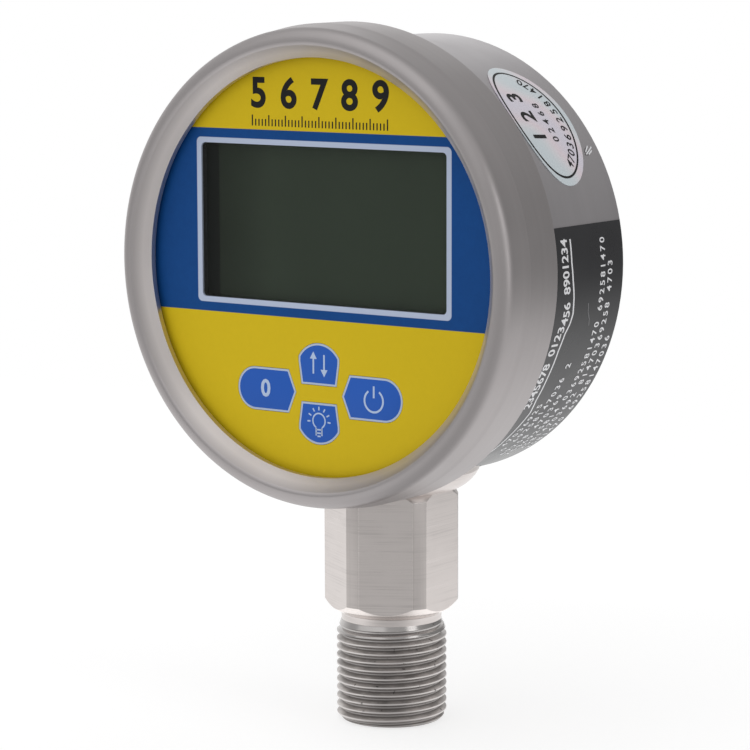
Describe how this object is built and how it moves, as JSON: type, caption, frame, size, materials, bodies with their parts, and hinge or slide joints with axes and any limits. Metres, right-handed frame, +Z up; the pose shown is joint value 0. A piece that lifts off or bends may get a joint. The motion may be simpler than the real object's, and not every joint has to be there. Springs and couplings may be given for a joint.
{
  "type": "digital pressure gauge",
  "caption": "Round steel digital pressure gauge with a liquid crystal window, a printed face with travelling keys, and a threaded hexagon stem below",
  "frame": {"origin": "on the stem's axis, at the flat lower end of the thread, where the pressure port opens", "axes": "+Z up along the stem towards the case, -Y out of the dial face, +X to the right of someone who reads the dial"},
  "size_m": [0.0842, 0.0402, 0.1251],
  "materials": {
    "case_steel": "drawn and satin brushed",
    "bezel_steel": "turned and satin polished",
    "stem_steel": "turned, milled flats",
    "fastener_steel": "bright",
    "sensor_steel": "fine turned",
    "black_rubber": "matt",
    "printed_film": "printed polyester, satin",
    "window_film": "clear, hard coated",
    "key_film": "printed polyester, satin",
    "panel_plastic": "moulded, fine grain",
    "lcd_cell": "polarised glass, unlit",
    "white_plastic": "moulded",
    "contact_metal": "plated",
    "board_green": "solder mask",
    "chip_black": "moulded epoxy",
    "switch_plastic": "moulded",
    "button_plastic": "moulded",
    "capacitor_sleeve": "shrunk sleeve",
    "red_insulation": "extruded",
    "black_insulation": "extruded",
    "tray_plastic": "moulded",
    "cell_sleeve": "printed sleeve",
    "label_film": "printed foil, satin",
    "sticker_foil": "shifting silver foil"
  },
  "bodies": {
    "gauge": {"case_shell": "case_steel", "bezel_ring": "bezel_steel", "bezel_gasket": "black_rubber", "case_oring": "black_rubber", "overlay_film": "printed_film", "film_window": "window_film", "front_panel": "panel_plastic", "lcd_glass": "lcd_cell", "lcd_holder": "white_plastic", "lcd_pins": "contact_metal", "backlight_panel": "white_plastic", "main_board": "board_green", "controller_chip": "chip_black", "converter_chip": "chip_black", "crystal_can": "contact_metal", "capacitors": "capacitor_sleeve", "battery_socket": "white_plastic", "battery_plug": "white_plastic", "lead_red": "red_insulation", "lead_black": "black_insulation", "sensor_socket": "white_plastic", "sensor_plug": "white_plastic", "sensor_cable": "black_insulation", "switch_zero": "switch_plastic", "switch_unit": "switch_plastic", "switch_light": "switch_plastic", "switch_power": "switch_plastic", "battery_tray": "tray_plastic", "stack_screws": "fastener_steel", "cell_upper": "cell_sleeve", "cell_middle": "cell_sleeve", "cell_lower": "cell_sleeve", "contact_springs": "contact_metal", "contact_plates": "contact_metal", "rear_cover": "case_steel", "cover_gasket": "black_rubber", "cover_screws": "fastener_steel", "stem": "stem_steel", "stem_seal": "black_rubber", "stem_collar": "stem_steel", "stem_saddle": "sensor_steel", "stem_nut": "fastener_steel", "sensor_capsule": "sensor_steel", "sensor_oring": "black_rubber", "sensor_retainer": "sensor_steel", "sensor_pins": "contact_metal", "rating_label": "label_film", "oval_sticker": "sticker_foil"},
    "zero_key": {"key_zero": "key_film", "button_zero": "button_plastic"},
    "unit_key": {"key_unit": "key_film", "button_unit": "button_plastic"},
    "light_key": {"key_light": "key_film", "button_light": "button_plastic"},
    "power_key": {"key_power": "key_film", "button_power": "button_plastic"}
  },
  "joints": [
    {"name": "zero_press", "type": "slide", "parent": "gauge", "child": "zero_key", "axis": [0, 1, 0], "range_m": [0, 0.0003], "stiffness_N_per_m": 6000},
    {"name": "unit_press", "type": "slide", "parent": "gauge", "child": "unit_key", "axis": [0, 1, 0], "range_m": [0, 0.0003], "stiffness_N_per_m": 6000},
    {"name": "light_press", "type": "slide", "parent": "gauge", "child": "light_key", "axis": [0, 1, 0], "range_m": [0, 0.0003], "stiffness_N_per_m": 6000},
    {"name": "power_press", "type": "slide", "parent": "gauge", "child": "power_key", "axis": [0, 1, 0], "range_m": [0, 0.0003], "stiffness_N_per_m": 6000}
  ]
}
